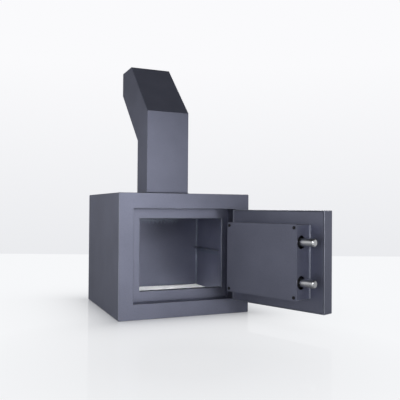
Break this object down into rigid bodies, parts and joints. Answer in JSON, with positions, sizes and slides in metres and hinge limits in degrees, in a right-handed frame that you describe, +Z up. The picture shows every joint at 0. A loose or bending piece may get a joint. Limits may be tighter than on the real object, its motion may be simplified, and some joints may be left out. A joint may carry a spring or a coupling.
{
  "type": "gooseneck deposit safe",
  "caption": "Steel deposit safe with a bent gooseneck chute on its roof, a hinged door with round locking bolts and a boxed lock case, and an anti-fishing comb inside.",
  "frame": {"origin": "centre of the cabinet's underside", "axes": "+Z up, -Y towards the door side, +X to the right when facing the door"},
  "size_m": [0.4565, 0.7587, 0.761],
  "materials": {
    "cabinet_paint": "satin dark blue-grey powder coat",
    "inside_paint": "satin dark grey paint",
    "bright_steel": "ground bright steel",
    "zinc_plate": "zinc plated steel",
    "black_plastic": "moulded black plastic",
    "black_oxide": "black oxide on steel",
    "pale_plastic": "pale sheet"
  },
  "bodies": {
    "cabinet": {"body_wrap": "cabinet_paint", "back_plate": "cabinet_paint", "front_frame": "cabinet_paint", "door_jamb": "cabinet_paint", "floor_tray": "inside_paint", "floor_liner": "pale_plastic", "shelf_ledge_left": "inside_paint", "shelf_ledge_right": "inside_paint", "anchor_plug_1": "black_plastic", "anchor_plug_2": "black_plastic", "chute_flange": "cabinet_paint", "chute_front_sheet": "cabinet_paint", "chute_back_sheet": "cabinet_paint", "chute_side_left": "cabinet_paint", "chute_side_right": "cabinet_paint", "chute_tail": "inside_paint", "anti_fishing_comb": "inside_paint", "comb_rivet_1": "zinc_plate", "comb_rivet_2": "zinc_plate", "comb_rivet_3": "zinc_plate", "chute_nut_1": "zinc_plate", "chute_nut_2": "zinc_plate", "chute_nut_3": "zinc_plate", "chute_nut_4": "zinc_plate", "hinge_base_lower": "cabinet_paint", "hinge_base_upper": "cabinet_paint", "hinge_pin_lower": "bright_steel", "hinge_pin_upper": "bright_steel", "hinge_washer_lower": "bright_steel", "hinge_washer_upper": "bright_steel"},
    "door": {"door_leaf": "cabinet_paint", "leaf_back_plate": "cabinet_paint", "spindle_bush": "zinc_plate", "hinge_strap_lower": "cabinet_paint", "hinge_strap_upper": "cabinet_paint", "lock_cover": "cabinet_paint", "cover_post_1": "zinc_plate", "cover_post_2": "zinc_plate", "cover_post_3": "zinc_plate", "cover_post_4": "zinc_plate", "cover_screw_1": "black_oxide", "cover_screw_2": "black_oxide", "cover_screw_3": "black_oxide", "cover_screw_4": "black_oxide", "bolt_guide": "black_oxide", "knob_rose": "zinc_plate", "lock_body": "zinc_plate", "keyhole_escutcheon": "zinc_plate"},
    "boltwork": {"locking_bolt_lower": "bright_steel", "locking_bolt_upper": "bright_steel", "bolt_screw_lower": "zinc_plate", "bolt_screw_upper": "zinc_plate", "bolt_bar": "zinc_plate"},
    "knob": {"turn_knob": "black_plastic", "knob_spindle": "zinc_plate", "drive_crank": "zinc_plate", "spindle_clip": "zinc_plate"},
    "lock_bolt_body": {"lock_bolt": "bright_steel"},
    "key_hub_body": {"key_hub": "bright_steel"}
  },
  "joints": [
    {"name": "door_swing", "type": "hinge", "parent": "cabinet", "child": "door", "pos_m": [0.1605, -0.1995, 0], "axis": [0, 0, 1], "range_deg": [-111.35, 0]},
    {"name": "bolt_slide", "type": "slide", "parent": "door", "child": "boltwork", "axis": [0.3641, -0.9314, 0], "range_m": [-0.038, 0]},
    {"name": "knob_turn", "type": "hinge", "parent": "door", "child": "knob", "pos_m": [0.20808, -0.34732, 0.17], "axis": [0.9314, 0.3641, 0], "range_deg": [0, 80]},
    {"name": "key_turn", "type": "hinge", "parent": "door", "child": "key_hub_body", "pos_m": [0.20808, -0.34732, 0.097], "axis": [0.9314, 0.3641, 0], "range_deg": [0, 180]},
    {"name": "lock_bolt_slide", "type": "slide", "parent": "door", "child": "lock_bolt_body", "axis": [0, 0, 1], "range_m": [0, 0.009]}
  ],
  "couplings": [
    {"joint": "bolt_slide", "follows": "door_swing", "m_per_rad": 0.01955},
    {"joint": "knob_turn", "follows": "door_swing", "ratio": -0.7184},
    {"joint": "lock_bolt_slide", "follows": "key_turn", "m_per_rad": 0.002864}
  ]
}
